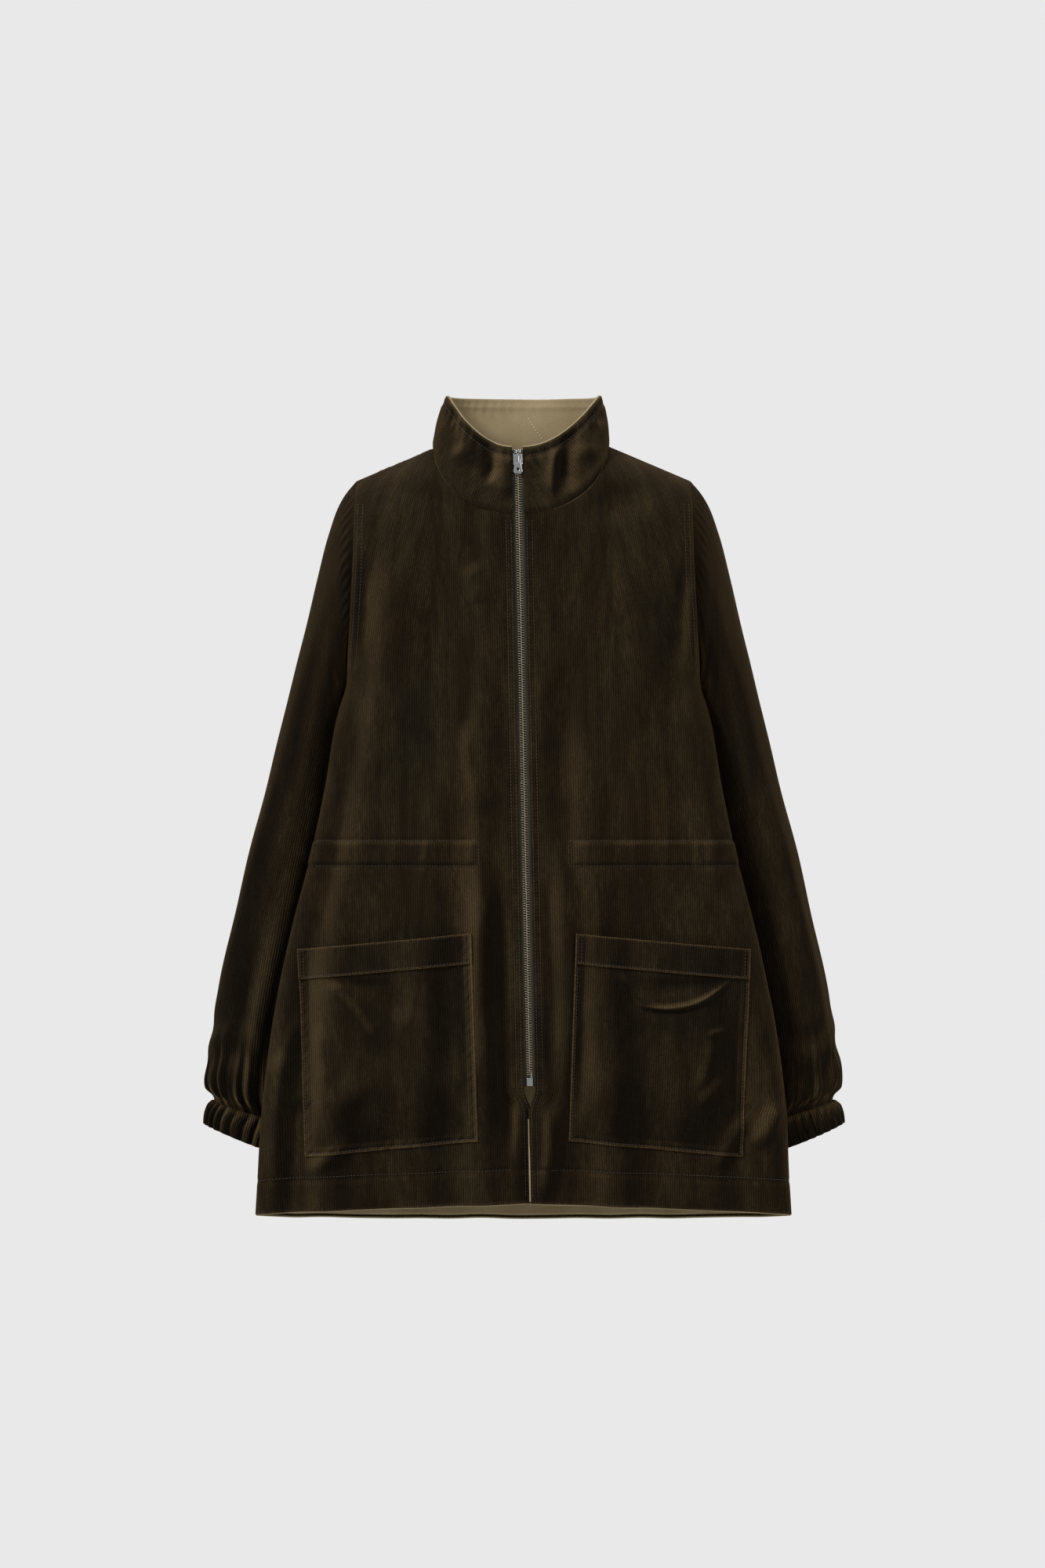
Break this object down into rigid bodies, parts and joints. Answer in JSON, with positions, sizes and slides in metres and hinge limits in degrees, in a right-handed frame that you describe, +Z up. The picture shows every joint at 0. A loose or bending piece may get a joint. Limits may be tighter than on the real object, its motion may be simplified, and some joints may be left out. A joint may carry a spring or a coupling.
{
  "type": "zip-front work jacket",
  "caption": "Hip-length corduroy jacket with a stand collar, full-length metal zip, elasticated cuffs, a waist tunnel and two patch pockets, hanging open at the hem.",
  "frame": {"origin": "middle of the neck, level with the top of the shoulders, where a hanger's neck stands", "axes": "+Z up the jacket, +X towards the wearer's left, -Y out of the front"},
  "size_m": [0.668, 0.1528, 0.8596],
  "materials": {
    "needlecord": "fine-wale cotton corduroy, brushed pile",
    "cotton_twill": "plain khaki cotton twill",
    "zip_tape": "woven polyester tape",
    "elastic": "woven elastic",
    "interlining": "non-woven interlining",
    "zip_teeth": "bare stamped teeth",
    "nickel": "nickel-plated zinc"
  },
  "bodies": {
    "jacket": {"shell_front_left": "needlecord", "shell_front_right": "needlecord", "lining_front_left": "cotton_twill", "lining_front_right": "cotton_twill", "front_facing_left": "cotton_twill", "front_facing_right": "cotton_twill", "hem_facing_front_left": "cotton_twill", "hem_facing_front_right": "cotton_twill", "waist_tape_front_left": "elastic", "waist_tape_front_right": "elastic", "waist_casing_front_left": "cotton_twill", "waist_casing_front_right": "cotton_twill", "pocket_bag_left": "needlecord", "pocket_bag_right": "needlecord", "pocket_band_left": "needlecord", "pocket_band_right": "needlecord", "shell_sleeve_upper_left": "needlecord", "shell_sleeve_upper_right": "needlecord", "lining_sleeve_upper_left": "cotton_twill", "lining_sleeve_upper_right": "cotton_twill", "zip_tape_left": "zip_tape", "zip_tape_right": "zip_tape", "zip_teeth_left": "zip_teeth", "zip_teeth_right": "zip_teeth", "zip_top_stop_left": "nickel", "zip_top_stop_right": "nickel", "shell_back": "needlecord", "lining_back": "cotton_twill", "hem_facing_back": "cotton_twill", "waist_tape_back": "elastic", "waist_casing_back": "cotton_twill", "shell_collar": "needlecord", "collar_interlining": "interlining", "lining_collar": "cotton_twill", "zip_insertion_pin": "nickel", "zip_retainer_box": "nickel"},
    "sleeve_left": {"shell_sleeve_lower_left": "needlecord", "lining_sleeve_lower_left": "cotton_twill", "cuff_left": "needlecord", "cuff_elastic_left": "elastic", "cuff_facing_left": "cotton_twill"},
    "sleeve_right": {"shell_sleeve_lower_right": "needlecord", "lining_sleeve_lower_right": "cotton_twill", "cuff_right": "needlecord", "cuff_elastic_right": "elastic", "cuff_facing_right": "cotton_twill"},
    "slider": {"zip_slider_body": "nickel"},
    "pull": {"zip_pull_tab": "nickel"}
  },
  "joints": [
    {"name": "zip_slide", "type": "slide", "parent": "jacket", "child": "slider", "axis": [0.0193, 0, -0.9998], "range_m": [0, 0.62]},
    {"name": "zip_pull_swing", "type": "hinge", "parent": "slider", "child": "pull", "pos_m": [-0.00587, -0.0635, -0.0327], "axis": [-0.9998, 0, -0.0193], "range_deg": [0, 170]},
    {"name": "sleeve_left_swing", "type": "hinge", "parent": "jacket", "child": "sleeve_left", "pos_m": [0.247, 0.026, -0.28], "axis": [0, -1, 0], "range_deg": [0, 25]},
    {"name": "sleeve_right_swing", "type": "hinge", "parent": "jacket", "child": "sleeve_right", "pos_m": [-0.247, 0.026, -0.28], "axis": [0, 1, 0], "range_deg": [0, 25]}
  ]
}
